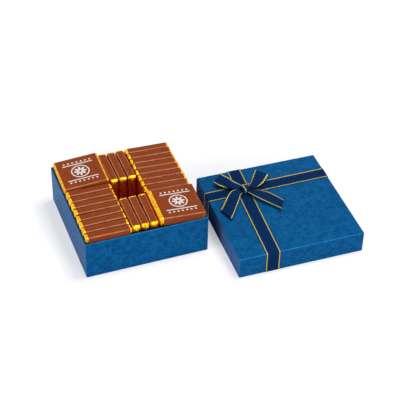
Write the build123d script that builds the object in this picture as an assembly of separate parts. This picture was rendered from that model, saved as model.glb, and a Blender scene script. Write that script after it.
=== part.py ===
from build123d import *
from math import atan2, cos, degrees, radians, sin
import os

# A lidded gift box of wrapped chocolate squares, opened, with its lid standing beside the tray.
# Lengths are millimetres. The origin is the centre of the tray's underside, +Y is the back.

# Chocolate squares: a bar folded in foil, in a paper sleeve that leaves two foil ends bare.
# A square lies with its thickness along Z and its foil ends along X before it is placed.
square_side = 35.4
standing_thickness = 6.65
flat_thickness = 7.1
square_round = 1.4
foil_end = 1.35
sleeve_paper = 0.2
sleeve_fit = 0.05
foil_chamfer = 0.9
foil_fold = 0.3
foil_fold_margin = 0.5
foil_fold_top_share = 0.45

# Packing: two columns of standing squares, each closed by a flat stack, and two middle groups.
# Yaws are degrees, listed from the tray's wall inwards, and keep the squares as unevenly as packed.
packing_gap = 0.15
floor_gap = 0.3
packing_room = 0.33
front_group_setback = 1.5
left_column_yaws = [-0.6, -0.2, 0.5, 0.9, -0.2, -0.5, 0.0, -0.4]
right_column_yaws = [-3.0, -3.6, -3.8, -4.0, -3.8, -4.0, -4.1, -3.4]
back_group_yaws = [0.3, 0.0, 0.4]
front_group_yaws = [0.0, -0.6, -1.5]
left_stack_yaws = [0.5, -0.4, 0.3, -0.5]
right_stack_yaws = [-0.4, 0.5, -0.6, 0.2]

# Each stack's top square lies askew: turned a little, with its inner end propped up.
left_top_yaw = -0.6
left_top_tilt = 3.7
left_top_sleeve_slip = 0.0
right_top_yaw = -1.5
right_top_tilt = 2.8
right_top_sleeve_slip = 1.2
top_wall_gap = 0.3

# Rigid cartons: greyboard wrapped in cover paper that turns over the rim.
tray_height = 32.2
lid_height = 17.8
board = 0.7
paper = 0.15
board_round = 0.5
rim_round = 0.3
turn_in = 12.0
lid_clearance = 1.3

# Lid's place on the table: gap to the tray, offset towards the front, and turn in degrees.
lid_gap = 12.2
lid_setback = 35.7
lid_yaw = -1.26

# Ribbon: two bands round the lid, and a bow tied in the same ribbon.
ribbon_width = 11.4
ribbon_thickness = 0.25
ribbon_tuck = 8.0
band_step = 1.0
long_band_front_x = -23.5
long_band_back_x = -18.9
cross_band_left_y = 24.7
cross_band_right_y = 25.9

# Bow: places are measured from the lid's centre and from the lid's top.
knot_x = -20.0
knot_y = 21.7
waist_length = 5.6
waist_width = 4.6
waist_height = 3.2
waist_round = 1.3
knot_width = 4.4
knot_wall = 0.5
knot_fit = 0.05
bow_clearance = 0.1
bow_wall = 0.35
loop_length = 23.0
loop_end_radius = 3.1
loop_root_radius = 0.8
loop_pinch = 4.2
loop_flare = 13.0
left_loop_angle = 137.0
right_loop_angle = 38.0
tail_length = 33.3
tail_short_length = 27.0
tail_inner_edge = 1.2
tail_flare = 8.5
tail_root_height = 1.6
tail_sag_height = 0.8
tail_tip_height = 1.7
left_tail_angle = 235.0
right_tail_angle = -57.0

# Worked out from the sizes above.
floor_thickness = paper + board
wall_thickness = board + 2 * paper
square_wrap = sleeve_paper + sleeve_fit


def reach(yaw, along, across):
    """Half the room that a turned rectangle takes along one direction."""
    return along / 2 * cos(radians(yaw)) + across / 2 * abs(sin(radians(yaw)))


def steps(yaws):
    """Centre to centre distances of a row of standing squares, packed with their gaps."""
    found = []
    for one, two in zip(yaws, yaws[1:]):
        fan = square_side / 2 * abs(sin(radians(one)) - sin(radians(two)))
        thick = standing_thickness / cos(radians(max(abs(one), abs(two))))
        found.append(thick + fan + packing_gap)
    return found


def row_run(yaws):
    """Length of a row of standing squares."""
    ends = reach(yaws[0], standing_thickness, square_side) + reach(yaws[-1], standing_thickness, square_side)
    return ends + sum(steps(yaws))


def row_width(yaws):
    """Room that a row of standing squares takes across its run."""
    return 2 * max(reach(yaw, square_side, standing_thickness) for yaw in yaws)


def stack_run(yaws):
    """Side of the upright well that a stack of flat squares takes."""
    return 2 * max(reach(yaw, square_side, square_side) for yaw in yaws)


column_run = max(
    row_run(left_column_yaws) + stack_run(left_stack_yaws),
    row_run(right_column_yaws) + stack_run(right_stack_yaws),
)
column_width = max(
    row_width(left_column_yaws),
    row_width(right_column_yaws),
    stack_run(left_stack_yaws),
    stack_run(right_stack_yaws),
)
group_run = max(row_run(back_group_yaws), row_run(front_group_yaws))
inner_side = max(column_run, 2 * column_width + group_run) + 2 * packing_gap + packing_room
tray_side = inner_side + 2 * wall_thickness
lid_side = tray_side + 2 * (lid_clearance + wall_thickness)
lid_x = tray_side / 2 + lid_gap + lid_side / 2
lid_y = -lid_setback
lid_place = Location((lid_x, lid_y, 0), (0, 0, lid_yaw))
print("tray side", round(tray_side, 2), "lid side", round(lid_side, 2), "lid centre x", round(lid_x, 2))


def save(name, shape):
    """Write one node."""
    export_step(shape, f"parts/{name}.step")


def block(length, width, low, high):
    """A box centred in plan, from one height to another."""
    return Pos(0, 0, (low + high) / 2) * Box(length, width, high - low)


def rounded_block(side, low, high, corner):
    """A square block with rounded upright corners and a rounded lower edge."""
    solid = block(side, side, low, high)
    return fillet(solid.edges().filter_by(Axis.Z) + solid.edges().group_by(Axis.Z)[0], corner)


def carton(side, height):
    """Board box and cover paper of an open carton standing on its closed end."""
    board_side = side - 2 * paper
    board_inner = board_side - 2 * board
    lined_inner = board_inner - 2 * paper
    core = rounded_block(board_side, paper, height - paper, board_round)
    core_board = core - block(board_inner, board_inner, floor_thickness, height)
    skin = rounded_block(side, 0, height, board_round + paper)
    skin = fillet(skin.edges().group_by(Axis.Z)[-1], rim_round)
    lining = block(board_inner, board_inner, height - turn_in, height)
    cover = (skin - core) + lining - block(lined_inner, lined_inner, floor_thickness, height + paper)
    cover = cover - block(board_inner, board_inner, floor_thickness, height - turn_in)
    return core_board, cover


def band_slab(x, y, along, width):
    """The upright slab that a straight ribbon band stays within."""
    return Pos(x, y, 0) * Rot(0, 0, along) * Box(2 * lid_side, width, 2 * (lid_height + lid_side))


def band(slab):
    """One ribbon band: over the top, down both skirts, under the rim and up inside."""
    corner = board_round + paper
    outer = rounded_lid_block(
        lid_side + 2 * ribbon_thickness, lid_height + ribbon_thickness, corner + ribbon_thickness
    )
    inner = rounded_lid_block(lid_side, lid_height, corner)
    lid_inner = lid_side - 2 * wall_thickness
    tucked = lid_inner - 2 * ribbon_thickness
    rim = block(lid_side, lid_side, 0, ribbon_thickness)
    lining = block(lid_inner, lid_inner, 0, ribbon_tuck)
    strip = (outer - inner) + rim + lining - block(tucked, tucked, 0, ribbon_tuck)
    return strip & slab


def rounded_lid_block(side, height, corner):
    """The lid's closed outer form, standing on its rim."""
    return Pos(0, 0, height) * Rot(180, 0, 0) * rounded_block(side, 0, height, corner)


def pressed_rim(lid_board, lid_cover, slabs):
    """The rim gives way by the ribbon's thickness where each band passes under it."""
    board_side = lid_side - 2 * paper
    board_inner = board_side - 2 * board
    ring = block(board_side, board_side, ribbon_thickness, ribbon_thickness + paper)
    ring -= block(board_inner, board_inner, 0, lid_height)
    for slab in slabs:
        lid_board -= block(lid_side, lid_side, 0, ribbon_thickness + paper) & slab
        lid_cover -= block(2 * lid_side, 2 * lid_side, -paper, ribbon_thickness) & slab
        lid_cover += ring & slab
    return lid_board, lid_cover


def belt(far_x, far_z, far_radius, near_z, near_radius):
    """A closed belt round a large end circle and a small root circle, seen from the side."""
    rings = Pos(far_x, far_z) * Circle(far_radius) + Pos(0, near_z) * Circle(near_radius)
    return make_hull(rings.edges())


def bow_loop(angle):
    """One loop of the bow: a flattened belt of ribbon, pinched in plan where it enters the knot."""
    root_z = bow_clearance + knot_wall + knot_fit + waist_height / 2
    far_x = loop_length - loop_end_radius
    far_z = bow_clearance + bow_wall + loop_end_radius
    outer = belt(far_x, far_z, loop_end_radius, root_z, loop_root_radius)
    inner = belt(far_x, far_z, loop_end_radius - bow_wall, root_z, loop_root_radius - bow_wall)
    side_view = Plane.XZ * (outer - inner)
    strip = extrude(side_view, ribbon_width, both=True)
    half = ribbon_width / 2
    plan = Polygon(
        (-loop_root_radius, -loop_pinch / 2),
        (loop_flare, -half),
        (loop_length, -half),
        (loop_length, half),
        (loop_flare, half),
        (-loop_root_radius, loop_pinch / 2),
        align=None,
    )
    return Rot(0, 0, angle) * (strip & extrude(plan, lid_height, both=True))


def bow_tail(angle, hand):
    """One tail: it leaves the knot low, flares to full width, sags to the lid and lifts at its cut."""
    low = tail_inner_edge * hand
    high = (tail_inner_edge + ribbon_width) * hand
    plan = Polygon(
        (0, -low),
        (tail_inner_edge, low),
        (tail_length, low),
        (tail_short_length, high),
        (tail_flare, high),
        (0, low),
        align=None,
    )
    under = ThreePointArc(
        (0, tail_root_height), (tail_length / 2, tail_sag_height), (tail_length, tail_tip_height)
    )
    over = Pos(0, bow_wall) * under
    ends = [Line(under @ 0, over @ 0), Line(under @ 1, over @ 1)]
    side_view = Plane.XZ * make_face([under, over, *ends])
    strip = extrude(side_view, 2 * ribbon_width, both=True)
    return Rot(0, 0, angle) * (strip & extrude(plan, lid_height, both=True))


def bow():
    """Bow ribbon and the knot wrapped round its waist, standing on height zero."""
    waist_z = bow_clearance + knot_wall + knot_fit + waist_height / 2
    waist = Pos(0, 0, waist_z) * Box(waist_length, waist_width, waist_height)
    waist = fillet(waist.edges().filter_by(Axis.X), waist_round)
    ribbon = waist + bow_loop(left_loop_angle) + bow_loop(right_loop_angle)
    ribbon += bow_tail(left_tail_angle, -1) + bow_tail(right_tail_angle, 1)
    hole = RectangleRounded(waist_width + 2 * knot_fit, waist_height + 2 * knot_fit, waist_round + knot_fit)
    rim = RectangleRounded(
        waist_width + 2 * (knot_fit + knot_wall),
        waist_height + 2 * (knot_fit + knot_wall),
        waist_round + knot_fit + knot_wall,
    )
    knot = Pos(0, 0, waist_z) * extrude(Plane.YZ * (rim - hole), knot_width / 2, both=True)
    return ribbon - knot, knot


def foil_bar(thickness):
    """A bar in foil: its edges folded flat all round, and the foil's folded flap on each end."""
    width = square_side - 2 * square_wrap
    height = thickness - 2 * square_wrap
    length = square_side - 2 * foil_fold
    section = chamfer(Rectangle(width, height).vertices(), square_round - square_wrap)
    bar = extrude(Plane.YZ * section, length / 2, both=True)
    ends = bar.edges().group_by(Axis.X)
    bar = chamfer(ends[0] + ends[-1], foil_chamfer)
    half_width = width / 2 - foil_chamfer - foil_fold_margin
    half_height = height / 2 - foil_chamfer
    flap = Plane.YZ * Polygon(
        (-half_width, -half_height),
        (half_width, -half_height),
        (half_width * foil_fold_top_share, half_height * foil_fold_top_share),
        (-half_width * foil_fold_top_share, half_height * foil_fold_top_share),
        align=None,
    )
    return bar + extrude(flap, square_side / 2, both=True)


def paper_sleeve(thickness):
    """The paper sleeve: a closed rounded tube, open at both foil ends."""
    inner_width = square_side - 2 * sleeve_paper
    inner_height = thickness - 2 * sleeve_paper
    outer = RectangleRounded(square_side, thickness, square_round)
    inner = RectangleRounded(inner_width, inner_height, square_round - sleeve_paper)
    return extrude(Plane.YZ * (outer - inner), square_side / 2 - foil_end, both=True)


standing_bar, standing_sleeve = foil_bar(standing_thickness), paper_sleeve(standing_thickness)
flat_bar, flat_sleeve = foil_bar(flat_thickness), paper_sleeve(flat_thickness)
on_edge = Rot(90, 0, 0)
standing_z = floor_thickness + floor_gap + square_side / 2


def save_standing(name, x, y, turn):
    """Write one standing square: its bar and its sleeve."""
    place = Pos(x, y, standing_z) * Rot(0, 0, turn) * on_edge
    save(f"{name}_bar", place * standing_bar)
    save(f"{name}_sleeve", place * standing_sleeve)


def row_places(yaws, room):
    """Distance of each square's centre from the wall, the room's spare length spread evenly."""
    spare = (room - row_run(yaws)) / (len(yaws) + 1)
    at = spare + reach(yaws[0], standing_thickness, square_side)
    places = [at]
    for step in steps(yaws):
        at += step + spare
        places.append(at)
    return places


def save_column(name, yaws, x, side, stack_yaws):
    """Write the standing squares of a column; side is -1 where they start at the front wall."""
    room = inner_side - stack_run(stack_yaws) - 2 * packing_gap
    for number, (yaw, place) in enumerate(zip(yaws, row_places(yaws, room)), 1):
        save_standing(f"{name}_square_{number}", x, side * (inner_side / 2 - place), yaw)


def save_group(name, yaws, y):
    """Write a middle group, standing with its foil ends to the front and back."""
    room = inner_side - 2 * (column_width + packing_gap)
    for number, (yaw, place) in enumerate(zip(yaws, row_places(yaws, room)), 1):
        save_standing(f"{name}_square_{number}", place - room / 2, y, 90 + yaw)


def save_stack(name, yaws, x, y):
    """Write the lower squares of a flat stack as one group."""
    bars, sleeves = [], []
    for number, yaw in enumerate(yaws):
        z = floor_thickness + floor_gap + flat_thickness / 2 + number * (flat_thickness + packing_gap)
        place = Pos(x, y, z) * Rot(0, 0, yaw)
        bars.append(place * flat_bar)
        sleeves.append(place * flat_sleeve)
    save(f"{name}_lower_bars", Compound(children=bars))
    save(f"{name}_lower_sleeves", Compound(children=sleeves))


def save_top(name, count, side, yaw, tilt, slip):
    """Write a stack's top square; side is -1 on the left, where its left end stays down."""
    x = side * (inner_side / 2 - top_wall_gap - reach(yaw, square_side, square_side))
    y = -side * (inner_side / 2 - packing_gap - reach(yaw, square_side, square_side))
    z = floor_thickness + floor_gap + count * (flat_thickness + packing_gap)
    hinge = side * square_side / 2
    place = Pos(x, y, z) * Rot(0, 0, yaw) * Pos(hinge, 0, 0) * Rot(0, side * tilt, 0)
    place *= Pos(-hinge, 0, flat_thickness / 2)
    save(f"{name}_top_bar", place * flat_bar)
    save(f"{name}_top_sleeve", place * Pos(side * slip, 0, 0) * flat_sleeve)


os.makedirs("parts", exist_ok=True)

# Tray
tray_board, tray_cover = carton(tray_side, tray_height)
save("tray_board", tray_board)
save("tray_cover", tray_cover)

# Squares
column_x = inner_side / 2 - packing_gap - column_width / 2
stack_y = inner_side / 2 - packing_gap
save_column("left", left_column_yaws, -column_x, -1, left_stack_yaws)
save_column("right", right_column_yaws, column_x, 1, right_stack_yaws)
save_group("back", back_group_yaws, inner_side / 2 - packing_gap - row_width(back_group_yaws) / 2)
save_group("front", front_group_yaws, front_group_setback + row_width(front_group_yaws) / 2 - inner_side / 2)
save_stack("left_stack", left_stack_yaws, -column_x, stack_y - stack_run(left_stack_yaws) / 2)
save_stack("right_stack", right_stack_yaws, column_x, stack_run(right_stack_yaws) / 2 - stack_y)
save_top("left_stack", len(left_stack_yaws), -1, left_top_yaw, left_top_tilt, left_top_sleeve_slip)
save_top("right_stack", len(right_stack_yaws), 1, right_top_yaw, right_top_tilt, right_top_sleeve_slip)

# Lid
flipped = Pos(0, 0, lid_height) * Rot(180, 0, 0)
lid_board, lid_cover = (flipped * piece for piece in carton(lid_side, lid_height))
long_slant = degrees(atan2(lid_side, long_band_back_x - long_band_front_x))
cross_slant = degrees(atan2(cross_band_right_y - cross_band_left_y, lid_side))
long_slab = band_slab((long_band_front_x + long_band_back_x) / 2, 0, long_slant, ribbon_width)
cross_slab = band_slab(0, (cross_band_left_y + cross_band_right_y) / 2, cross_slant, ribbon_width)
lid_board, lid_cover = pressed_rim(lid_board, lid_cover, [long_slab, cross_slab])
save("lid_board", lid_place * lid_board)
save("lid_cover", lid_place * lid_cover)

# Ribbon bands: the cross band steps over the long one
wide_slab = band_slab(
    (long_band_front_x + long_band_back_x) / 2, 0, long_slant, ribbon_width + 2 * band_step
)
long_band = band(long_slab)
bridge = block(lid_side, lid_side, lid_height + ribbon_thickness, lid_height + 2 * ribbon_thickness)
cross_band = band(cross_slab) - long_band + (bridge & wide_slab & cross_slab)
save("ribbon_long_band", lid_place * long_band)
save("ribbon_cross_band", lid_place * cross_band)

# Bow
bow_ribbon, bow_knot = bow()
bow_place = lid_place * Pos(knot_x, knot_y, lid_height + 2 * ribbon_thickness)
save("bow_ribbon", bow_place * bow_ribbon)
save("bow_knot", bow_place * bow_knot)
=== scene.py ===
import math
import bmesh
import bpy
from mathutils import Matrix, Quaternion, Vector, noise


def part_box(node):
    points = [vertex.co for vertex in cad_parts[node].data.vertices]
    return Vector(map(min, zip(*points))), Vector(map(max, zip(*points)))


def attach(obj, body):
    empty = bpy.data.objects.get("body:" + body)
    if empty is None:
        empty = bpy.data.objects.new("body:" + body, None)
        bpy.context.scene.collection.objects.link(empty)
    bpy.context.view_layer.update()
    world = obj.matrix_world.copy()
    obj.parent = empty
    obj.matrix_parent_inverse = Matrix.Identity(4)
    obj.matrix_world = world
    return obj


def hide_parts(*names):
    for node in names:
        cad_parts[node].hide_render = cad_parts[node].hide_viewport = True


# A chocolate box, opened: the tray is packed with wrapped squares, its tied lid stands beside it.
# The scene is in metres. The dictionaries hold millimetres, and mm turns them into metres.

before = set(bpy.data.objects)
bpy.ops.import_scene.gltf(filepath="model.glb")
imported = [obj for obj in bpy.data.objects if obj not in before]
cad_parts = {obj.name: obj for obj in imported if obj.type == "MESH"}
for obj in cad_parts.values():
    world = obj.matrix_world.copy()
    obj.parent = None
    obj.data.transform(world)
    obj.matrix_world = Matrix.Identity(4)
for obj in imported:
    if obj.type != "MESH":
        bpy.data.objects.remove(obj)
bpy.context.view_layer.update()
mm = 0.001
print("frame loaded:", len(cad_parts), "nodes")


# Camera

cameraSpot = {
    "place": (-215.06, -716.66, 656.64),
    "aim": (64.71, -2.23, 0.0),
    "roll": 1.627,
    "lens": 110.8,
    "sensor": 36.0,
}


def makeCamera():
    place = Vector(cameraSpot["place"]) * mm
    aim = Vector(cameraSpot["aim"]) * mm
    data = bpy.data.cameras.new("camera")
    data.lens = cameraSpot["lens"]
    data.sensor_width = cameraSpot["sensor"]
    camera = bpy.data.objects.new("camera", data)
    bpy.context.scene.collection.objects.link(camera)
    camera.location = place
    camera.rotation_mode = "QUATERNION"
    roll = Quaternion((0, 0, 1), math.radians(cameraSpot["roll"]))
    camera.rotation_quaternion = (aim - place).to_track_quat("-Z", "Y") @ roll
    bpy.context.scene.camera = camera


makeCamera()
bpy.context.scene.view_settings.view_transform = "Standard"
print("camera set")


# Node helpers

def plug(tree, socket, value):
    if isinstance(value, bpy.types.NodeSocket):
        tree.links.new(value, socket)
    else:
        socket.default_value = value


def addNode(tree, kind, inputs=None, **settings):
    made = tree.nodes.new(kind)
    for name, value in settings.items():
        setattr(made, name, value)
    for name, value in (inputs or {}).items():
        plug(tree, made.inputs[name], value)
    return made


def calc(tree, operation, *values):
    made = tree.nodes.new("ShaderNodeMath")
    made.operation = operation
    for socket, value in zip(made.inputs, values):
        plug(tree, socket, value)
    return made.outputs[0]


def weigh(tree, first, firstShare, second, secondShare):
    firstPart = calc(tree, "MULTIPLY", first, firstShare)
    return calc(tree, "ADD", firstPart, calc(tree, "MULTIPLY", second, secondShare))


def ramp(tree, value, start, end, low=0.0, high=1.0):
    inputs = {"Value": value, "From Min": start, "From Max": end, "To Min": low, "To Max": high}
    return addNode(tree, "ShaderNodeMapRange", inputs, interpolation_type="SMOOTHSTEP").outputs[0]


def tint(tree, factor, first, second):
    # 0, 6 and 7 are the mix node's factor and its two colours, and 2 is the mixed colour
    return addNode(tree, "ShaderNodeMix", {0: factor, 6: first, 7: second}, data_type="RGBA").outputs[2]


def cloud(tree, vector, scale, detail=2.0, roughness=0.5):
    inputs = {"Vector": vector, "Scale": scale, "Detail": detail, "Roughness": roughness}
    return addNode(tree, "ShaderNodeTexNoise", inputs).outputs[0]


def newGroup(name, inputs, outputs):
    tree = bpy.data.node_groups.new(name, "ShaderNodeTree")
    for label, kind, value in inputs:
        socket = tree.interface.new_socket(label, in_out="INPUT", socket_type=f"NodeSocket{kind}")
        if value is not None:
            socket.default_value = value
    for label, kind in outputs:
        tree.interface.new_socket(label, in_out="OUTPUT", socket_type=f"NodeSocket{kind}")
    return tree, tree.nodes.new("NodeGroupInput").outputs, tree.nodes.new("NodeGroupOutput").inputs


def newMaterial(name):
    material = bpy.data.materials.new(name)
    material.use_nodes = True
    tree = material.node_tree
    return material, tree, tree.nodes["Principled BSDF"]


def objectCoords(tree):
    return tree.nodes.new("ShaderNodeTexCoord").outputs["Object"]


def uvCoords(tree, layer):
    return addNode(tree, "ShaderNodeUVMap", uv_map=layer).outputs[0]


def useGroup(tree, group, inputs):
    return addNode(tree, "ShaderNodeGroup", inputs, node_tree=group).outputs


def bump(tree, height, strength, distance):
    inputs = {"Height": height, "Strength": strength, "Distance": distance * mm}
    return addNode(tree, "ShaderNodeBump", inputs).outputs[0]


def opennessOf(tree, reach):
    # 1 where nothing stands within reach of the surface, down to 0 deep between two others
    return addNode(tree, "ShaderNodeAmbientOcclusion", {"Distance": reach * mm}).outputs["AO"]


# Shared effects

def makePaperGrain():
    # soft pressed cells with finer fibres in them, as on embossed and uncoated papers
    tree, given, made = newGroup(
        "paperGrain",
        [("Vector", "Vector", None), ("Cell Size", "Float", 0.001)],
        [("Mottle", "Float"), ("Height", "Float")],
    )
    scale = calc(tree, "DIVIDE", 1.0, given["Cell Size"])
    inputs = {"Vector": given["Vector"], "Scale": scale, "Smoothness": 0.6}
    cells = addNode(tree, "ShaderNodeTexVoronoi", inputs, feature="SMOOTH_F1").outputs["Distance"]
    broad = cloud(tree, given["Vector"], calc(tree, "MULTIPLY", scale, 0.35), 3.0)
    fine = cloud(tree, given["Vector"], calc(tree, "MULTIPLY", scale, 2.6), 2.0)
    mottle = weigh(tree, cells, 0.55, broad, 0.5)
    height = weigh(tree, cells, 0.7, fine, 0.45)
    plug(tree, made["Mottle"], ramp(tree, mottle, 0.3, 0.75))
    plug(tree, made["Height"], height)
    return tree


def makeEdgeWearAndHighlight():
    # how near a point lies to a box's edges, broken up by wear; Corner is the same for its corners. Edge
    # carries both worn edges and a painted highlight along them
    tree, given, made = newGroup(
        "edgeWearAndHighlight",
        [
            ("Vector", "Vector", None),
            ("Half Side", "Float", 0.05),
            ("Height", "Float", 0.03),
            ("Width", "Float", 0.001),
        ],
        [("Edge", "Float"), ("Corner", "Float")],
    )
    parts = addNode(tree, "ShaderNodeSeparateXYZ", {0: given["Vector"]}).outputs
    fromX = calc(tree, "SUBTRACT", given["Half Side"], calc(tree, "ABSOLUTE", parts[0]))
    fromY = calc(tree, "SUBTRACT", given["Half Side"], calc(tree, "ABSOLUTE", parts[1]))
    fromZ = calc(tree, "MINIMUM", parts[2], calc(tree, "SUBTRACT", given["Height"], parts[2]))
    nearSide = calc(tree, "MINIMUM", fromX, fromY)
    upright = calc(tree, "MAXIMUM", fromX, fromY)
    level = calc(tree, "MAXIMUM", nearSide, fromZ)
    distance = calc(tree, "DIVIDE", calc(tree, "MINIMUM", upright, level), given["Width"])
    corner = calc(tree, "DIVIDE", calc(tree, "MAXIMUM", upright, fromZ), given["Width"])
    worn = cloud(tree, given["Vector"], 420.0, 4.0, 0.65)
    broken = calc(tree, "MULTIPLY", calc(tree, "SUBTRACT", worn, 0.5), 1.8)
    plug(tree, made["Edge"], ramp(tree, calc(tree, "ADD", distance, broken), 1.0, 0.2))
    plug(tree, made["Corner"], ramp(tree, calc(tree, "ADD", corner, broken), 1.5, 0.7))
    return tree


def makeWovenRibbon():
    # the texture coordinates count ribbon widths: 0 to 1 across, and on along the length
    tree, given, made = newGroup(
        "wovenRibbon",
        [
            ("Vector", "Vector", None),
            ("Gold Inset", "Float", 0.07),
            ("Gold Width", "Float", 0.08),
            ("Ribs", "Float", 26.0),
        ],
        [("Gold", "Float"), ("Height", "Float"), ("Shade", "Float")],
    )
    parts = addNode(tree, "ShaderNodeSeparateXYZ", {0: given["Vector"]}).outputs
    across, along = parts[0], parts[1]
    fromEdge = calc(tree, "MINIMUM", across, calc(tree, "SUBTRACT", 1.0, across))
    frayed = calc(tree, "MULTIPLY", calc(tree, "SUBTRACT", cloud(tree, given["Vector"], 9.0), 0.5), 0.012)
    offset = calc(tree, "ADD", calc(tree, "SUBTRACT", fromEdge, given["Gold Inset"]), frayed)
    half = calc(tree, "MULTIPLY", given["Gold Width"], 0.5)
    gold = ramp(tree, calc(tree, "SUBTRACT", calc(tree, "ABSOLUTE", offset), half), 0.012, -0.012)
    ribPhase = calc(tree, "MULTIPLY", calc(tree, "MULTIPLY", across, given["Ribs"]), math.tau)
    weftPhase = calc(tree, "MULTIPLY", along, 34.0 * math.tau)
    ribs = calc(tree, "SINE", ribPhase)
    weft = calc(tree, "SINE", calc(tree, "ADD", weftPhase, calc(tree, "MULTIPLY", ribPhase, 0.5)))
    twist = calc(tree, "SINE", calc(tree, "ADD", weftPhase, calc(tree, "MULTIPLY", across, 150.0)))
    cloth = weigh(tree, ribs, 0.35, weft, 0.25)
    thread = calc(tree, "ADD", 1.2, calc(tree, "MULTIPLY", twist, 0.5))
    mixed = addNode(tree, "ShaderNodeMix", {0: gold, 2: cloth, 3: thread}, data_type="FLOAT").outputs[0]
    drawn = {0: given["Vector"], 1: (14.0, 0.8, 1.0)}
    streaks = addNode(tree, "ShaderNodeVectorMath", drawn, operation="MULTIPLY").outputs[0]
    shade = weigh(tree, cloud(tree, streaks, 2.0, 3.0), 0.8, ribs, 0.12)
    plug(tree, made["Gold"], gold)
    plug(tree, made["Height"], mixed)
    plug(tree, made["Shade"], ramp(tree, shade, 0.15, 0.75))
    return tree


paperGrain = makePaperGrain()
edgeWearAndHighlight = makeEdgeWearAndHighlight()
wovenRibbon = makeWovenRibbon()
print("shared effects made")


# Finishes: rough holds the roughness at both ends of a pattern, bump holds a strength and a depth

coverLook = {
    "deep": (0.0015, 0.066, 0.205, 1),
    "bright": (0.0040, 0.120, 0.320, 1),
    # the cover's edges are lightened toward this cyan, partly as wear and partly as a painted highlight
    "wornAndHighlit": (0.020, 0.245, 0.600, 1),
    "bare": (0.230, 0.085, 0.045, 1),
    "grain": 1.15,
    "cloud": 5.0,
    "cloudShare": 0.28,
    "wornAndHighlitWidth": 0.55,
    "wornAndHighlitShare": 0.45,
    "metallic": 0.20,
    "rough": (0.41, 0.33),
    "gloss": 0.05,
    "edgeTint": (0.160, 0.370, 0.720, 1),
    "shaded": (0.0010, 0.042, 0.150, 1),
    "reach": 24.0,
    "bump": (0.35, 0.12),
}


def coverPaper(name, centre, turn, halfSide, height):
    look = coverLook
    material, tree, surface = newMaterial(name)
    inputs = {"Vector": objectCoords(tree), "Location": centre, "Rotation": (0, 0, turn)}
    local = addNode(tree, "ShaderNodeMapping", inputs, vector_type="TEXTURE").outputs[0]
    grain = useGroup(tree, paperGrain, {"Vector": local, "Cell Size": look["grain"] * mm})
    box = {"Vector": local, "Half Side": halfSide, "Height": height, "Width": look["wornAndHighlitWidth"] * mm}
    edges = useGroup(tree, edgeWearAndHighlight, box)
    clouds = cloud(tree, local, 1 / (look["cloud"] * mm), 3.0, 0.6)
    drift = ramp(tree, clouds, 0.34, 0.66, -look["cloudShare"], look["cloudShare"])
    colour = tint(tree, calc(tree, "ADD", grain["Mottle"], drift), look["deep"], look["bright"])
    # lighter edges: partly wear, partly a painted highlight
    colour = tint(tree, calc(tree, "MULTIPLY", edges["Edge"], look["wornAndHighlitShare"]), colour, look["wornAndHighlit"])
    chips = calc(tree, "MULTIPLY", edges["Corner"], ramp(tree, cloud(tree, local, 31.0), 0.45, 0.6))
    colour = tint(tree, chips, colour, look["bare"])
    # painted shade: in the gap between the boxes and under the bow, where the paper has little light to
    # mirror, its colour is darkened and its metal and gloss are taken away
    closed = ramp(tree, opennessOf(tree, look["reach"]), 0.12, 0.46, 1.0, 0.0)
    plug(tree, surface.inputs["Base Color"], tint(tree, closed, colour, look["shaded"]))
    shiny = calc(tree, "SUBTRACT", 1.0, calc(tree, "MAXIMUM", chips, closed))
    plug(tree, surface.inputs["Metallic"], calc(tree, "MULTIPLY", shiny, look["metallic"]))
    plug(tree, surface.inputs["Specular IOR Level"], ramp(tree, closed, 0.0, 1.0, look["gloss"], 0.0))
    plug(tree, surface.inputs["Roughness"], ramp(tree, grain["Mottle"], 0.0, 1.0, *look["rough"]))
    surface.inputs["Specular Tint"].default_value = look["edgeTint"]
    plug(tree, surface.inputs["Normal"], bump(tree, grain["Height"], *look["bump"]))
    return material


boardLook = {
    "pale": (0.40, 0.375, 0.34, 1),
    "dark": (0.26, 0.24, 0.215, 1),
    "speck": (0.12, 0.10, 0.085, 1),
    "grain": 0.8,
    "roughness": 0.9,
    "gloss": 0.2,
    "bump": (0.4, 0.1),
}


def greyBoard():
    material, tree, surface = newMaterial("greyBoard")
    coords = objectCoords(tree)
    grain = useGroup(tree, paperGrain, {"Vector": coords, "Cell Size": boardLook["grain"] * mm})
    colour = tint(tree, grain["Mottle"], boardLook["dark"], boardLook["pale"])
    specks = ramp(tree, cloud(tree, coords, 1500.0, 1.0), 0.68, 0.74)
    plug(tree, surface.inputs["Base Color"], tint(tree, specks, colour, boardLook["speck"]))
    surface.inputs["Roughness"].default_value = boardLook["roughness"]
    surface.inputs["Specular IOR Level"].default_value = boardLook["gloss"]
    plug(tree, surface.inputs["Normal"], bump(tree, grain["Height"], *boardLook["bump"]))
    return material


sleeveFinish = {
    "deep": (0.208, 0.035, 0.006, 1),
    "warm": (0.305, 0.060, 0.012, 1),
    # crease is the colour of the painted highlight along the folds, with some wear
    "crease": (0.650, 0.255, 0.130, 1),
    "ink": (0.900, 0.870, 0.820, 1),
    "grain": 0.9,
    "rough": (0.36, 0.30),
    "gloss": 0.07,
    "bump": (0.18, 0.06),
}
printPlan = {
    "eye": 1.1,
    "rosette": 5.0,
    "petals": 8.0,
    "petalShape": 0.6,
    "ring": 6.7,
    "ringWidth": 0.85,
    "ruleAt": 9.0,
    "ruleHalf": 11.9,
    "ruleWidth": 0.85,
    "dotPitch": 3.4,
    "dotAt": 11.5,
    "dotRadius": 0.75,
    "blur": 0.12,
}


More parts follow.
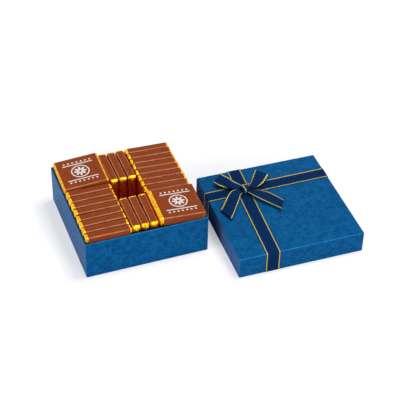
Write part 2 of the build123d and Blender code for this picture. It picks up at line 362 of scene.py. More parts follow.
def makeOrnament():
    # a petalled rosette in a ring, with a rule and a row of dots above and below it, in millimetres
    plan = printPlan
    blur = plan["blur"]
    tree, given, made = newGroup("ornament", [("Vector", "Vector", None)], [("Ink", "Float")])

    def within(value, limit):
        return ramp(tree, value, limit + blur, limit - blur)

    def farFrom(value, place):
        return calc(tree, "ABSOLUTE", calc(tree, "SUBTRACT", value, place))

    def lengthOf(first, second):
        return calc(tree, "SQRT", weigh(tree, first, first, second, second))

    scaled = addNode(tree, "ShaderNodeVectorMath", {0: given["Vector"], "Scale": 1 / mm}, operation="SCALE")
    parts = addNode(tree, "ShaderNodeSeparateXYZ", {0: scaled.outputs[0]}).outputs
    x, y = parts[0], parts[1]
    radius = lengthOf(x, y)
    turned = calc(tree, "MULTIPLY", calc(tree, "ARCTAN2", y, x), plan["petals"] / 2)
    wave = calc(tree, "ABSOLUTE", calc(tree, "COSINE", turned))
    petal = calc(tree, "MULTIPLY", calc(tree, "POWER", wave, plan["petalShape"]), plan["rosette"])
    rosette = ramp(tree, calc(tree, "SUBTRACT", petal, radius), -blur, blur)
    eye = ramp(tree, radius, plan["eye"] - blur, plan["eye"] + blur)
    ring = within(farFrom(radius, plan["ring"]), plan["ringWidth"] / 2)
    away = calc(tree, "ABSOLUTE", y)
    wide = within(calc(tree, "ABSOLUTE", x), plan["ruleHalf"])
    rule = within(farFrom(away, plan["ruleAt"]), plan["ruleWidth"] / 2)
    step = calc(tree, "PINGPONG", x, plan["dotPitch"] / 2)
    rise = calc(tree, "SUBTRACT", away, plan["dotAt"])
    dots = within(lengthOf(step, rise), plan["dotRadius"])
    ink = calc(tree, "MAXIMUM", calc(tree, "MULTIPLY", rosette, eye), ring)
    lines = calc(tree, "MULTIPLY", calc(tree, "MAXIMUM", rule, dots), wide)
    plug(tree, made["Ink"], calc(tree, "MAXIMUM", ink, lines))
    return tree


ornament = makeOrnament()


def sleevePaper():
    look = sleeveFinish
    material, tree, surface = newMaterial("sleevePaper")
    coords = objectCoords(tree)
    grain = useGroup(tree, paperGrain, {"Vector": coords, "Cell Size": look["grain"] * mm})
    colour = tint(tree, grain["Mottle"], look["deep"], look["warm"])
    drift = ramp(tree, cloud(tree, coords, 55.0), 0.35, 0.65, 0.0, 0.35)
    colour = tint(tree, drift, colour, look["warm"])
    # painted highlight with wear: a lighter line along each fold, set where the rounding catches the light
    # and broken up by rubs
    foldWearAndHighlight = addNode(tree, "ShaderNodeAttribute", attribute_name="foldWearAndHighlight").outputs["Fac"]
    rubs = ramp(tree, cloud(tree, coords, 160.0, 3.0), 0.30, 0.62, 0.45, 1.0)
    colour = tint(tree, calc(tree, "MULTIPLY", foldWearAndHighlight, rubs), colour, look["crease"])
    ink = useGroup(tree, ornament, {"Vector": uvCoords(tree, "unrolled")})["Ink"]
    worn = ramp(tree, cloud(tree, coords, 1400.0, 2.0), 0.30, 0.42, 0.55, 1.0)
    printed = calc(tree, "MULTIPLY", ink, worn)
    plug(tree, surface.inputs["Base Color"], tint(tree, printed, colour, look["ink"]))
    plug(tree, surface.inputs["Roughness"], ramp(tree, grain["Mottle"], 0.0, 1.0, *look["rough"]))
    surface.inputs["Specular IOR Level"].default_value = look["gloss"]
    plug(tree, surface.inputs["Normal"], bump(tree, grain["Height"], *look["bump"]))
    return material


foilFinish = {
    "gold": (0.95, 0.545, 0.017, 1),
    "amber": (0.74, 0.215, 0.003, 1),
    # the colour of the painted shade and reflection on foil deep between the squares
    "closed": (0.95, 0.160, 0.001, 1),
    "reach": 24.0,
    "rough": (0.28, 0.36),
    "streakSize": 1.6,
    "streakLength": 0.16,
    "cell": 1.9,
    "bump": (0.16, 0.12),
}


def goldFoil():
    look = foilFinish
    material, tree, surface = newMaterial("goldFoil")
    # creases run down the folded ends, so the pattern is drawn out along Z
    drawn = {0: objectCoords(tree), 1: (1.0, 1.0, look["streakLength"])}
    streaked = addNode(tree, "ShaderNodeVectorMath", drawn, operation="MULTIPLY").outputs[0]
    streaks = cloud(tree, streaked, 1 / (look["streakSize"] * mm), 3.0)
    patches = ramp(tree, streaks, 0.44, 0.68)
    colour = tint(tree, patches, look["gold"], look["amber"])
    # painted shade and reflection: deep between the squares the foil mirrors brown paper, so there its
    # colour is set to a dark orange-brown
    closed = ramp(tree, opennessOf(tree, look["reach"]), 0.15, 0.84, 1.0, 0.0)
    plug(tree, surface.inputs["Base Color"], tint(tree, closed, colour, look["closed"]))
    surface.inputs["Metallic"].default_value = 1.0
    plug(tree, surface.inputs["Roughness"], ramp(tree, patches, 0.0, 1.0, *look["rough"]))
    inputs = {"Vector": streaked, "Scale": 1 / (look["cell"] * mm)}
    cells = addNode(tree, "ShaderNodeTexVoronoi", inputs, feature="DISTANCE_TO_EDGE").outputs["Distance"]
    folds = weigh(tree, ramp(tree, cells, 0.0, 0.2), 1.0, streaks, 0.8)
    plug(tree, surface.inputs["Normal"], bump(tree, folds, *look["bump"]))
    return material


ribbonFinish = {
    "deep": (0.0010, 0.0125, 0.052, 1),
    "lit": (0.0025, 0.0410, 0.170, 1),
    "shaded": (0.0006, 0.0040, 0.014, 1),
    "reach": 5.0,
    "gold": (0.620, 0.520, 0.090, 1),
    "goldDark": (0.350, 0.290, 0.050, 1),
    "rough": (0.45, 0.36),
    "goldMetallic": 0.55,
    "gloss": 0.02,
    "goldInset": 0.75,
    "goldWidth": 0.8,
    "goldRise": 0.07,
    "bump": (0.5, 0.07),
}
ribbonCut = {"width": 11.4, "thickness": 0.25, "tuck": 8.0}


def ribbonCloth():
    look = ribbonFinish
    material, tree, surface = newMaterial("ribbonCloth")
    lines = {
        "Vector": uvCoords(tree, "woven"),
        "Gold Inset": look["goldInset"] / ribbonCut["width"],
        "Gold Width": look["goldWidth"] / ribbonCut["width"],
    }
    cloth = useGroup(tree, wovenRibbon, lines)
    gold, height, shade = cloth["Gold"], cloth["Height"], cloth["Shade"]
    navy = tint(tree, shade, look["deep"], look["lit"])
    thread = tint(tree, ramp(tree, height, 0.7, 1.6), look["goldDark"], look["gold"])
    # painted shade: the cloth darkens to near black under the loops and where ribbon layers lie close
    # together
    closed = ramp(tree, opennessOf(tree, look["reach"]), 0.20, 0.80, 0.9, 0.0)
    colour = tint(tree, closed, tint(tree, gold, navy, thread), look["shaded"])
    plug(tree, surface.inputs["Base Color"], colour)
    plug(tree, surface.inputs["Metallic"], ramp(tree, gold, 0.0, 1.0, 0.0, look["goldMetallic"]))
    plug(tree, surface.inputs["Roughness"], ramp(tree, gold, 0.0, 1.0, *look["rough"]))
    surface.inputs["Specular IOR Level"].default_value = look["gloss"]
    plug(tree, surface.inputs["Normal"], bump(tree, height, *look["bump"]))
    return material


# Places read from the frame

def facesOf(nodeName, low=-1.0, high=1.0):
    return [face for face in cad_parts[nodeName].data.polygons if low <= face.center.z <= high]


def centreOf(nodeName, low=-1.0, high=1.0):
    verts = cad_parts[nodeName].data.vertices
    points = [verts[index].co for face in facesOf(nodeName, low, high) for index in face.vertices]
    return Vector([(min(part) + max(part)) / 2 for part in zip(*points)])


def turnOf(nodeName, low=-1.0, high=1.0):
    # the turn about Z comes from the largest upright side, and the tilt from the largest upper one
    faces = facesOf(nodeName, low, high)
    side = max((face for face in faces if abs(face.normal.z) < 0.5), key=lambda face: face.area)
    upper = max((face for face in faces if face.normal.z > 0.9), key=lambda face: face.area)
    turn = math.degrees(math.atan2(-side.normal.x, side.normal.y))
    tilt = Vector((0, 0, 1)).rotation_difference(upper.normal).to_matrix().to_4x4()
    return tilt @ Matrix.Rotation(math.radians((turn + 45) % 180 - 45), 4, "Z")


trayLow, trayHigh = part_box("tray_cover")
lidLow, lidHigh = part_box("lid_cover")
lidCentre = centreOf("lid_cover")
lidTurn = (turnOf("lid_cover").to_euler().z + math.pi / 4) % (math.pi / 2) - math.pi / 4
lidTop = lidHigh.z
traySide = trayHigh.x - trayLow.x
lidSpan = lidHigh.x - lidLow.x
lidSide = lidSpan / (math.cos(lidTurn) + abs(math.sin(lidTurn)))
lidPlace = Matrix.Translation((lidCentre.x, lidCentre.y, 0)) @ Matrix.Rotation(lidTurn, 4, "Z")
print("lid side", round(lidSide / mm, 2), "turn", round(math.degrees(lidTurn), 2))


# Piece helpers

def newObject(name, mesh, material, body):
    piece = bpy.data.objects.new(name, mesh)
    bpy.context.scene.collection.objects.link(piece)
    mesh.materials.append(material)
    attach(piece, body)
    return piece


def cutAt(bm, axis, places):
    normal = Vector((0, 0, 0))
    normal[axis] = 1
    for place in places:
        geometry = bm.verts[:] + bm.edges[:] + bm.faces[:]
        bmesh.ops.bisect_plane(bm, geom=geometry, plane_co=normal * place, plane_no=normal)


def evenly(low, high, count):
    return [low + (high - low) * step / count for step in range(1, count)]


def smooth(value, start, end):
    share = min(max((value - start) / (end - start), 0.0), 1.0)
    return share * share * (3 - 2 * share)


# Cartons: cover paper over greyboard

def dressCartons():
    trayPaper = coverPaper("trayPaper", (0, 0, 0), 0.0, traySide / 2, trayHigh.z)
    lidPaper = coverPaper("lidPaper", (lidCentre.x, lidCentre.y, 0), lidTurn, lidSide / 2, lidTop)
    board = greyBoard()
    dressed = {"tray_cover": trayPaper, "lid_cover": lidPaper, "tray_board": board, "lid_board": board}
    for node, material in dressed.items():
        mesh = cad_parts[node].data
        mesh.materials.clear()
        mesh.materials.append(material)


dressCartons()
print("cartons dressed")


# Chocolate squares

squareLook = {
    "side": 35.4,
    "standing": 6.4,
    "flat": 7.1,
    "foilEnd": {"standing": 2.0, "flat": 1.45},
    "slip": 0.45,
    "slipSpread": 0.5,
    "corner": 1.15,
    "cornerSteps": 6,
    "sleeveCuts": (12, 10),
    # where on each fold's rounding the painted highlight line sits, in degrees, and how far it spreads
    "foldHighlightAngle": 32.0,
    "foldHighlightSpread": 30.0,
    "paper": 0.2,
    "wrap": 0.25,
    "ripple": 0.07,
    "rippleSize": 9.0,
    "lapAt": 5.0,
    "lapStep": 0.12,
    "lapEnds": (1.4, 4.0),
    "foilEdge": 1.25,
    "foilSteps": 3,
    "foilGrid": 0.65,
    "foilRings": 4,
    "foilCell": 1.5,
    "creaseWidth": 0.55,
    "creaseLevel": 0.6,
    "crumple": {"standing": 0.24, "flat": 0.08},
    "crumpleHeld": 0.15,
    "loosens": (-1.0, 0.4),
    "pressed": 0.04,
    "pillow": 0.20,
    "flare": 0.30,
    "endDepth": 0.3,
    "flapSlope": (-0.1, 0.25),
    "tuck": 0.14,
    "tuckSlope": 0.8,
}


standing, flat = squareLook["standing"] * mm, squareLook["flat"] * mm


def lookFor(what, thickness):
    return squareLook[what]["standing" if thickness == standing else "flat"] * mm


def sleeveShell(thickness):
    # a flat tube round Y and Z, open at both X ends, with a glued lap on its underside
    look = squareLook
    side = look["side"] * mm
    bm = bmesh.new()
    bmesh.ops.create_cube(bm, size=1)
    bmesh.ops.scale(bm, vec=(side - 2 * lookFor("foilEnd", thickness), side, thickness), verts=bm.verts)
    ends = [face for face in bm.faces if abs(face.normal.x) > 0.5]
    bmesh.ops.delete(bm, geom=ends, context="FACES_ONLY")
    folds = [edge for edge in bm.edges if abs((edge.verts[1].co - edge.verts[0].co).normalized().x) > 0.5]
    bmesh.ops.bevel(
        bm, geom=folds, offset=look["corner"] * mm, segments=look["cornerSteps"],
        profile=0.5, affect="EDGES", material=-1,
    )
    lap = look["lapAt"] * mm
    along, across = look["sleeveCuts"]
    cutAt(bm, 0, evenly(-side / 2, side / 2, along))
    cutAt(bm, 1, evenly(-side / 2, side / 2, across) + [lap, lap + look["lapStep"] * mm])
    cutAt(bm, 2, [0])
    bm.normal_update()
    return bm


def foilBlock(thickness):
    # a bar in foil, finely divided only where the foil shows
    look = squareLook
    side = look["side"] * mm
    wrap = 2 * look["wrap"] * mm
    bm = bmesh.new()
    bmesh.ops.create_cube(bm, size=1)
    bmesh.ops.scale(bm, vec=(side - 2 * look["tuck"] * mm, side - wrap, thickness - wrap), verts=bm.verts)
    bmesh.ops.bevel(
        bm, geom=bm.edges[:], offset=look["foilEdge"] * mm, segments=look["foilSteps"],
        profile=0.5, affect="EDGES", material=-1,
    )
    grid = look["foilGrid"] * mm
    near = [side / 2 - look["foilEdge"] * mm - grid * step for step in range(look["foilRings"])]
    cutAt(bm, 0, near + [-place for place in near])
    cutAt(bm, 1, evenly(-side / 2, side / 2, round(side / grid)))
    cutAt(bm, 2, evenly(-thickness / 2, thickness / 2, round(thickness / grid)))
    bm.normal_update()
    return bm


def crease(point, seed):
    # 0 along a crease in the foil, up to 1 away from it
    shift = Vector((seed * 7.3, seed * 3.1, seed * 5.7))
    near = noise.voronoi(point / (squareLook["foilCell"] * mm) + shift)[0]
    return min(near[1] - near[0], squareLook["creaseWidth"]) / squareLook["creaseWidth"]


def crumpleFoil(bm, thickness, seed):
    look = squareLook
    half = look["side"] * mm / 2
    sleeveEnd = half - lookFor("foilEnd", thickness)
    crumple, held = lookFor("crumple", thickness), look["crumpleHeld"]
    tight, loose = (sleeveEnd + place * mm for place in look["loosens"])
    flapFrom, flapTo = (place * mm for place in look["flapSlope"])
    for vert in bm.verts:
        here = vert.co.copy()
        # free runs from 0 under the sleeve, which presses the foil flat, to 1 where the foil shows
        free = smooth(abs(here.x), tight, loose)
        push = (crease(here, seed) - look["creaseLevel"]) * crumple * (held + (1 - held) * free)
        push -= look["pressed"] * mm * (1 - free)
        vert.co += vert.normal * push
        for axis, edge in ((1, half), (2, thickness / 2)):
            vert.co[axis] += here[axis] / edge * free * look["flare"] * mm
        if abs(here.x) > half - look["endDepth"] * mm:
            # the end: one long side's flap folded over the other's, and a tuck at each short side
            flap = smooth(here.z, flapFrom, flapTo) * look["tuck"] * mm
            inTuck = thickness / 2 - abs(here.z) - (half - abs(here.y))
            tuck = smooth(inTuck, 0.0, look["tuckSlope"] * mm) * 2 * look["tuck"] * mm
            bulge = (1 - (2 * here.z / thickness) ** 2) * look["pillow"] * mm
            vert.co.x += math.copysign(flap - tuck + bulge, here.x)


def rippleSleeve(bm, seed):
    look = squareLook
    shift = Vector((seed * 2.9, seed * 6.1, seed * 4.3))
    for vert in bm.verts:
        here = vert.co.copy()
        vert.co += vert.normal * noise.noise(here / (look["rippleSize"] * mm) + shift) * look["ripple"] * mm
        if vert.normal.z < -0.9 and here.y > (look["lapAt"] + look["lapStep"] / 2) * mm:
            fromFold = look["side"] / 2 - here.y / mm
            vert.co.z -= look["lapStep"] * mm * smooth(fromFold, *look["lapEnds"])


def unrollSleeve(bm, thickness, shownFlat):
    # the print's place on the paper, and along each fold a lighter line that is partly wear and partly a
    # painted highlight, on the side that shows
    look = squareLook
    layer = bm.loops.layers.uv.new("unrolled")
    foldWearAndHighlight = bm.verts.layers.float.new("foldWearAndHighlight")
    side = look["side"] * mm
    corner = look["corner"] * mm
    foldHighlightAngle = 90 - look["foldHighlightAngle"] if shownFlat else look["foldHighlightAngle"]
    for face in bm.faces:
        # only the upper face is printed, so the others take their place far off the print
        away = 0 if face.normal.z > 0.7 else 3 * side
        for loop in face.loops:
            loop[layer].uv = (loop.vert.co.x, loop.vert.co.y + away)
    for vert in bm.verts:
        outY = abs(vert.co.y) - side / 2 + corner
        outZ = abs(vert.co.z) - thickness / 2 + corner
        around = math.degrees(math.atan2(max(outZ, 0), max(outY, 0)))
        vert[foldWearAndHighlight] = max(0.0, 1 - abs(around - foldHighlightAngle) / look["foldHighlightSpread"])


def joinBlocks(name, blocks, faceted):
    mesh = bpy.data.meshes.new(name)
    joined = bmesh.new()
    for block in blocks:
        part = bpy.data.meshes.new("part")
        block.to_mesh(part)
        joined.from_mesh(part)
        bpy.data.meshes.remove(part)
        block.free()
    for face in joined.faces:
        face.smooth = not faceted
    joined.to_mesh(mesh)
    joined.free()
    return mesh


def addSquares(name, thickness, plural="", count=1, onEdge=False, slipped=False):
    # the foil and the sleeve of one square, or of several that share a node
    sleeveName, foilName = f"{name}_sleeve{plural}", f"{name}_bar{plural}"
    low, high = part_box(sleeveName)
    pitch = (high.z - low.z) / count
    foils, sleeves = [], []
    for number in range(count):
        seed = sum(ord(letter) for letter in name) * 0.37 + number * 1.9
        layer = (low.z + pitch * number, low.z + pitch * (number + 1))
        turned = turnOf(sleeveName, *layer)
        if onEdge:
            turned = turned @ Matrix.Rotation(math.radians(90), 4, "X")
        foil = foilBase[thickness].copy()
        crumpleFoil(foil, thickness, seed)
        foil.transform(Matrix.Translation(centreOf(foilName, *layer)) @ turned)
        foils.append(foil)
        sleeve = sleeveBase[thickness].copy()
        rippleSleeve(sleeve, seed)
        if slipped:
            # the sleeve has moved a little along its bar
            moved = squareLook["slip"] + squareLook["slipSpread"] * noise.noise(Vector((seed, 0.5, 0.5)))
            bmesh.ops.translate(sleeve, vec=(moved * mm, 0, 0), verts=sleeve.verts)
        sleeve.transform(Matrix.Translation(centreOf(sleeveName, *layer)) @ turned)
        sleeves.append(sleeve)
    foilMesh = joinBlocks(f"{name}_foil", foils, True)
    foilPiece = newObject(f"{name}_foil", foilMesh, foilMaterial, name)
    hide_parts(foilName)
    sleeveMesh = joinBlocks(f"{name}_wrapper", sleeves, False)
    sleevePiece = newObject(f"{name}_wrapper", sleeveMesh, sleeveMaterial, name)
    wall = sleevePiece.modifiers.new("paper", "SOLIDIFY")
    wall.thickness = squareLook["paper"] * mm
    wall.offset = -1
    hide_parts(sleeveName)


foilMaterial = goldFoil()
sleeveMaterial = sleevePaper()
foilBase = {size: foilBlock(size) for size in (standing, flat)}
sleeveBase = {size: sleeveShell(size) for size in (standing, flat)}
for size, shell in sleeveBase.items():
    unrollSleeve(shell, size, size == flat)

for group, count in (("left", 8), ("right", 8), ("back", 3), ("front", 3)):
    for number in range(1, count + 1):
        addSquares(f"{group}_square_{number}", standing, onEdge=True, slipped=group in ("left", "right"))
for side in ("left", "right"):
    addSquares(f"{side}_stack_top", flat, slipped=side == "right")
    addSquares(f"{side}_stack_lower", flat, "s", 4)
print("squares wrapped")


# Ribbon

ribbonMaterial = ribbonCloth()
bandPlan = {
    "longFront": -23.5,
    "longBack": -18.9,
    "crossLeft": 24.7,
    "crossRight": 25.9,
    "rows": 260,
    "columns": 18,
    "bend": 0.3,
    "bendSteps": 6,
    "edgeLift": 0.16,
    "edgeLiftPower": 4,
    "heldDown": (0.5, 4.0),
    "crossingLift": 0.2,
    "crossingSlope": 2.0,
    "lidWall": 1.0,
}


def roundedRoute(corners, radius):
    # straight runs joined by small quarter bends, as a list of points
    points = [corners[0]]
    steps = bandPlan["bendSteps"]
    for before, corner, after in zip(corners, corners[1:], corners[2:]):
        start = corner + (before - corner).normalized() * radius
        end = corner + (after - corner).normalized() * radius
        for step in range(steps + 1):
            share = step / steps
            points.append(start.lerp(corner, share).lerp(corner.lerp(end, share), share))
    points.append(corners[-1])
    return points


def distances(points):
    found = [0.0]
    for one, two in zip(points, points[1:]):
        found.append(found[-1] + (two - one).length)
    return found


def pointAt(points, marks, distance):
    for one, two, start, end in zip(points, points[1:], marks, marks[1:]):
        if distance <= end or two is points[-1]:
            return one.lerp(two, (distance - start) / max(end - start, 1e-9))


def stripGrid(rows, columns, length):
    # a flat strip from 0 to 1 both ways, with texture coordinates in ribbon widths
    bm = bmesh.new()
    bmesh.ops.create_grid(bm, x_segments=columns, y_segments=rows, size=0.5)
    bmesh.ops.translate(bm, vec=(0.5, 0.5, 0), verts=bm.verts)
    layer = bm.loops.layers.uv.new("woven")
    for face in bm.faces:
        face.smooth = True
        for loop in face.loops:
            across, along = loop.vert.co.x, loop.vert.co.y
            loop[layer].uv = (across, along * length / (ribbonCut["width"] * mm))
    return bm


def goldRise(across):
    # the gold threads stand a little proud of the cloth
    inset = ribbonFinish["goldInset"] / ribbonCut["width"]
    spread = ribbonFinish["goldWidth"] / ribbonCut["width"] / 2
    gap = abs(min(across, 1 - across) - inset) / spread
    return ribbonFinish["goldRise"] * mm * max(0.0, 1 - gap * gap)


def finishRibbon(name, bm, nodes):
    mesh = bpy.data.meshes.new(name)
    bm.transform(lidPlace)
    bmesh.ops.recalc_face_normals(bm, faces=bm.faces)
    bm.to_mesh(mesh)
    bm.free()
    piece = newObject(name, mesh, ribbonMaterial, "lid")
    cloth = piece.modifiers.new("cloth", "SOLIDIFY")
    cloth.thickness = ribbonCut["thickness"] * mm
    cloth.offset = 0
    if nodes:
        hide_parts(*nodes)


def addBand(name, along, start, end, node, crossing=None):
    # along is the lid's axis that the band follows; its place across drifts from start to end
    plan = bandPlan
    half = lidSide / 2
    thick = ribbonCut["thickness"] * mm
    outer, inner = half + thick / 2, half - plan["lidWall"] * mm - thick / 2
    tuck = ribbonCut["tuck"] * mm
    outline = [(-inner, tuck), (-inner, thick / 2), (-outer, thick / 2), (-outer, lidTop + thick / 2)]
    corners = [Vector(point) for point in outline] + [Vector((-x, z)) for x, z in reversed(outline)]
    route = roundedRoute(corners, plan["bend"] * mm)
    marks = distances(route)
    length = marks[-1]
    bm = stripGrid(plan["rows"], plan["columns"], length)
    width = ribbonCut["width"] * mm
    heldTo, freeFrom = (place * mm for place in plan["heldDown"])
    for vert in bm.verts:
        across, share = vert.co.x, vert.co.y
        spot = pointAt(route, marks, share * length)
        drift = (start + (end - start) * (spot.x + half) / (2 * half)) * mm
        side = drift + (across - 0.5) * width
        onTop = smooth(half - abs(spot.x), heldTo, freeFrom) if spot.y > lidTop else 0.0
        lift = goldRise(across) + onTop * plan["edgeLift"] * mm * (2 * across - 1) ** plan["edgeLiftPower"]
        if crossing is not None:
            flatTo = width / 2 + plan["crossingLift"] * mm
            over = 1 - smooth(abs(spot.x - crossing * mm), flatTo, flatTo + plan["crossingSlope"] * mm)
            lift += onTop * over * (thick + plan["crossingLift"] * mm)
        outside = Vector((math.copysign(1, spot.x) if spot.y < lidTop else 0, 1 if spot.y >= lidTop else 0))
        spot = spot + outside * lift if spot.y > thick else spot
        vert.co = Vector((side, spot.x, spot.y)) if along == "y" else Vector((spot.x, side, spot.y))
    finishRibbon(name, bm, [node])


addBand("long_band", "y", bandPlan["longFront"], bandPlan["longBack"], "ribbon_long_band")
addBand(
    "cross_band", "x", bandPlan["crossLeft"], bandPlan["crossRight"], "ribbon_cross_band",
    crossing=(bandPlan["longFront"] + bandPlan["longBack"] * 3) / 4,
)
print("bands tied")


# Bow: each strip is a list of stations along the ribbon, each one its left edge, middle and right edge,
# in millimetres from the lid's centre and above its top

bowStations = {
    "left_loop": [
        ((-19.8, 21.4, 2.4), (-19.7, 22.4, 3.4), (-19.6, 23.8, 2.8)),
        ((-22.2, 24.8, 1.1), (-22.4, 23.5, 3.7), (-21.2, 27.4, 3.5)),
        ((-28.4, 27.6, 0.9), (-28.4, 26.0, 4.3), (-25.3, 32.4, 4.9)),
        ((-35.6, 30.4, 2.5), (-32.1, 32.8, 4.8), (-27.9, 35.6, 5.6)),
        ((-38.5, 33.9, 2.8), (-35.1, 36.7, 4.8), (-30.4, 39.9, 5.7)),
        ((-40.2, 36.9, 2.9), (-36.5, 39.6, 4.4), (-31.8, 42.6, 5.4)),
        ((-40.5, 37.2, 1.8), (-36.6, 40.4, 2.5), (-32.0, 43.5, 3.3)),
        ((-38.2, 36.3, 0.8), (-35.0, 39.5, 0.8), (-31.0, 42.6, 1.2)),
        ((-35.3, 32.9, 0.6), (-32.2, 35.7, 0.6), (-28.8, 38.6, 0.7)),
        ((-28.8, 27.8, 0.7), (-26.6, 30.1, 0.7), (-24.7, 32.2, 0.7)),
        ((-21.4, 22.2, 1.3), (-20.6, 23.0, 1.3), (-20.2, 24.0, 1.3)),
    ],
    "right_loop": [
        ((-19.6, 23.8, 2.8), (-19.5, 22.4, 3.4), (-19.4, 21.2, 2.4)),
        ((-16.4, 25.4, 1.8), (-16.2, 22.4, 3.8), (-15.8, 22.6, 1.1)),
        ((-12.9, 28.0, 3.1), (-11.3, 23.4, 4.7), (-10.4, 23.0, 1.0)),
        ((-10.5, 31.2, 5.2), (-7.0, 28.2, 4.9), (-3.9, 24.1, 3.0)),
        ((-7.7, 35.1, 5.6), (-3.2, 32.6, 5.0), (1.6, 29.6, 3.3)),
        ((-5.1, 39.1, 5.3), (-0.4, 36.2, 4.6), (4.2, 32.7, 3.4)),
        ((-4.6, 39.9, 3.4), (0.1, 36.9, 2.6), (4.3, 33.2, 2.0)),
        ((-4.9, 39.5, 1.2), (-0.7, 36.7, 0.8), (2.4, 33.0, 0.8)),
        ((-7.8, 35.2, 0.7), (-4.8, 32.2, 0.6), (-2.4, 28.8, 0.6)),
        ((-12.4, 28.6, 0.7), (-10.5, 26.5, 0.7), (-8.7, 24.6, 0.7)),
        ((-18.4, 24.0, 1.3), (-18.2, 23.0, 1.3), (-18.0, 22.0, 1.3)),
    ],
    "left_tail": [
        ((-19.8, 24.2, 1.9), (-20.1, 22.6, 2.2), (-20.2, 21.0, 1.8)),
        ((-24.5, 24.5, 2.6), (-23.3, 21.9, 2.4), (-22.1, 19.5, 1.6)),
        ((-30.0, 24.0, 2.5), (-27.4, 20.4, 2.1), (-24.1, 18.0, 1.4)),
        ((-34.0, 21.0, 1.8), (-30.5, 16.7, 1.5), (-26.4, 14.4, 1.2)),
        ((-39.2, 14.7, 1.2), (-35.0, 10.2, 1.1), (-31.0, 7.6, 1.0)),
        ((-42.3, 10.2, 1.3), (-39.2, 4.6, 1.2), (-35.6, 0.4, 1.3)),
        ((-45.1, 6.7, 1.6), (-43.2, 0.2, 1.4), (-40.6, -7.0, 1.9)),
    ],
    "right_tail": [
        ((-19.2, 21.4, 1.6), (-19.0, 22.4, 2.0), (-18.6, 23.4, 1.9)),
        ((-18.0, 17.8, 2.1), (-15.8, 19.6, 2.5), (-12.9, 21.6, 1.4)),
        ((-15.2, 12.2, 2.4), (-11.5, 15.4, 2.4), (-6.9, 19.2, 1.1)),
        ((-10.7, 6.2, 2.0), (-6.3, 10.4, 1.7), (-1.8, 15.3, 1.0)),
        ((-5.7, -0.3, 1.8), (-1.9, 4.6, 1.3), (2.1, 9.2, 1.1)),
        ((-0.6, -7.8, 2.2), (2.3, -2.3, 1.8), (5.3, 2.9, 1.6)),
    ],
}
bowPlan = {"rowsEach": 10, "columns": 18, "pleat": 0.35, "pleats": 3.5, "pleatEnds": 0.22, "ahead": 0.01}


def rail(points, share):
    # a smooth line through given points
    spot = share * (len(points) - 1)
    index = min(int(spot), len(points) - 2)
    here = spot - index
    two, three = points[index], points[index + 1]
    one = points[index - 1] if index > 0 else two * 2 - three
    four = points[index + 2] if index + 2 < len(points) else three * 2 - two
    return (
        two * 2
        + (three - one) * here
        + (one * 2 - two * 5 + three * 4 - four) * here ** 2
        + (two * 3 - one - three * 3 + four) * here ** 3
    ) / 2


def addBowStrip(name, stations, bothEndsTied, nodes=()):
    left, middle, right = ([Vector(station[part]) * mm for station in stations] for part in range(3))
    rows = bowPlan["rowsEach"] * (len(stations) - 1)
    marks = distances([rail(middle, row / rows) for row in range(rows + 1)])
    length = marks[-1]
    bm = stripGrid(rows, bowPlan["columns"], length)
    layer = bm.loops.layers.uv["woven"]
    # the rows aren't evenly spaced along the ribbon, so the weave follows their measured places
    for face in bm.faces:
        for loop in face.loops:
            loop[layer].uv.y = marks[round(loop.vert.co.y * rows)] / (ribbonCut["width"] * mm)
    lidFace = Vector((0, 0, lidTop + ribbonCut["thickness"] * mm))
    for vert in bm.verts:
        across, share = vert.co.x, vert.co.y
        one, two, three = rail(left, share), rail(middle, share), rail(right, share)
        # the curve across the ribbon that passes through its left edge, middle and right edge
        spot = (
            one * 2 * (across - 0.5) * (across - 1)
            + two * 4 * across * (1 - across)
            + three * 2 * across * (across - 0.5)
        )
        after, before = min(share + bowPlan["ahead"], 1), max(share - bowPlan["ahead"], 0)
        ahead = rail(middle, after) - rail(middle, before)
        facing = (three - one).cross(ahead).normalized()
        tied = 1 - smooth(share, 0, bowPlan["pleatEnds"])
        if bothEndsTied:
            tied += 1 - smooth(1 - share, 0, bowPlan["pleatEnds"])
        pleat = math.sin(across * bowPlan["pleats"] * math.tau + 1.0) * bowPlan["pleat"] * mm * tied
        vert.co = lidFace + spot + facing * (pleat + goldRise(across))
    finishRibbon(name, bm, nodes)


addBowStrip("bow_left_loop", bowStations["left_loop"], True, ("bow_ribbon",))
addBowStrip("bow_right_loop", bowStations["right_loop"], True)
addBowStrip("bow_left_tail", bowStations["left_tail"], False)
addBowStrip("bow_right_tail", bowStations["right_tail"], False)
print("bow tied")


# Knot: the ribbon folded in three lengthwise and wrapped once round the waist of the bow

knotPlan = {
    "centre": (-19.7, 22.3),
    "halfDepth": 3.0,
    "low": 0.35,
    "high": 4.7,
    "corner": 1.6,
    "turn": 8.0,
    "goldAt": 0.3,
    "leftFold": -2.5,
    "rightFold": 2.3,
    "layer": 0.3,
    "pinch": 0.10,
    "wave": 0.09,
    "rows": 72,
    "columns": 30,
}


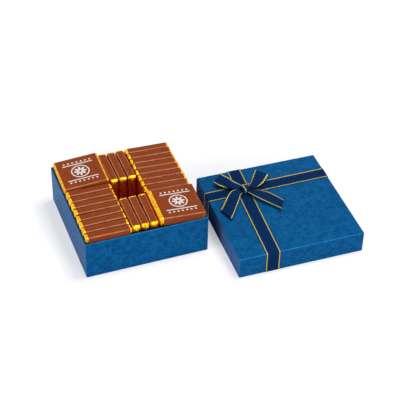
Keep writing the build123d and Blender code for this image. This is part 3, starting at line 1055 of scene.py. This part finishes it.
def addKnot():
    plan = knotPlan
    middle = (plan["low"] + plan["high"]) / 2
    rise = (plan["high"] - plan["low"]) / 2
    deep = plan["halfDepth"]
    outline = [(0, -rise), (-deep, -rise), (-deep, rise), (deep, rise), (deep, -rise), (0, -rise)]
    ring = roundedRoute([Vector(point) for point in outline], plan["corner"])
    marks = distances(ring)
    length = marks[-1] * mm
    first = plan["goldAt"] - plan["leftFold"]
    second = plan["rightFold"] - plan["leftFold"]
    bm = stripGrid(plan["rows"], plan["columns"], length)
    for vert in bm.verts:
        reach = vert.co.x * ribbonCut["width"]
        spot = pointAt(ring, marks, vert.co.y * marks[-1])
        if reach < first:
            side, level = plan["goldAt"] - reach, 0.0
        elif reach < first + second:
            side, level = plan["leftFold"] + reach - first, 1.0
        else:
            side, level = plan["rightFold"] - (reach - first - second), 2.0
        shrink = 1 - level * plan["layer"] / rise
        pinch = 1 + plan["pinch"] * abs(spot.y) / rise
        wave = plan["wave"] * math.sin(side * 3.1 + spot.x * 0.5)
        vert.co = Vector((side * pinch, spot.x * shrink, middle + spot.y * shrink + wave)) * mm
    turn = Matrix.Rotation(math.radians(plan["turn"]), 4, "Z")
    centre = Vector((plan["centre"][0] * mm, plan["centre"][1] * mm, lidTop + ribbonCut["thickness"] * mm))
    bm.transform(Matrix.Translation(centre) @ turn)
    finishRibbon("bow_knot_wrap", bm, ("bow_knot",))


addKnot()
print("knot wrapped")


# Studio

studio = {
    "floorSize": 12.0,
    "floorDrop": 0.05,
    "floorColour": (0.60, 0.60, 0.62, 1),
    "floorLift": 0.51,
    "closeReach": 30.0,
    "worldDiffuse": 0.20,
}


def seenDirectly(tree):
    # 1 for rays from the camera, off a gloss or through glass, and 0 for those that light the object
    path = tree.nodes.new("ShaderNodeLightPath").outputs
    seen = calc(tree, "MAXIMUM", path["Is Camera Ray"], path["Is Glossy Ray"])
    return calc(tree, "MAXIMUM", seen, path["Is Transmission Ray"])


def makeFloor():
    bm = bmesh.new()
    bmesh.ops.create_grid(bm, x_segments=1, y_segments=1, size=studio["floorSize"] / 2)
    mesh = bpy.data.meshes.new("floor")
    bm.to_mesh(mesh)
    bm.free()
    floor = bpy.data.objects.new("floor", mesh)
    floor.location = (0, 0, -studio["floorDrop"] * mm)
    bpy.context.scene.collection.objects.link(floor)
    material, tree, surface = newMaterial("studioFloor")
    surface.inputs["Base Color"].default_value = studio["floorColour"]
    surface.inputs["Roughness"].default_value = 1.0
    surface.inputs["Specular IOR Level"].default_value = 0.0
    surface.inputs["Emission Color"].default_value = (1, 1, 1, 1)
    # painted shadow: the lift fades in the narrow gap between the two boxes, where both stand over the
    # floor, so the floor there is darker
    clear = ramp(tree, opennessOf(tree, studio["closeReach"]), 0.0, 0.42)
    lift = calc(tree, "MULTIPLY", clear, studio["floorLift"])
    plug(tree, surface.inputs["Emission Strength"], calc(tree, "MULTIPLY", seenDirectly(tree), lift))
    mesh.materials.append(material)


def makeWorld():
    world = bpy.data.worlds.new("studioWorld")
    bpy.context.scene.world = world
    world.use_nodes = True
    tree = world.node_tree
    background = tree.nodes["Background"]
    background.inputs["Color"].default_value = (1, 1, 1, 1)
    strength = ramp(tree, seenDirectly(tree), 0.0, 1.0, studio["worldDiffuse"], 1.0)
    plug(tree, background.inputs["Strength"], strength)


lampAim = Vector((0.05, 0.0, 0.0))
lamps = {
    "left": {"place": (-2.00, -0.35, 0.80), "size": 1.2, "power": 24.0},
    "front": {"place": (0.70, -2.05, 0.60), "size": 1.0, "power": 24.5},
    "key": {"place": (0.75, 0.10, 1.98), "size": 0.8, "power": 24.0},
}


def makeLamps():
    for name, lamp in lamps.items():
        data = bpy.data.lights.new(name, "AREA")
        data.size = lamp["size"]
        data.energy = lamp["power"]
        light = bpy.data.objects.new(name, data)
        light.location = lamp["place"]
        light.rotation_euler = (lampAim - light.location).to_track_quat("-Z", "Y").to_euler()
        bpy.context.scene.collection.objects.link(light)


makeFloor()
makeWorld()
makeLamps()
print("studio lit")
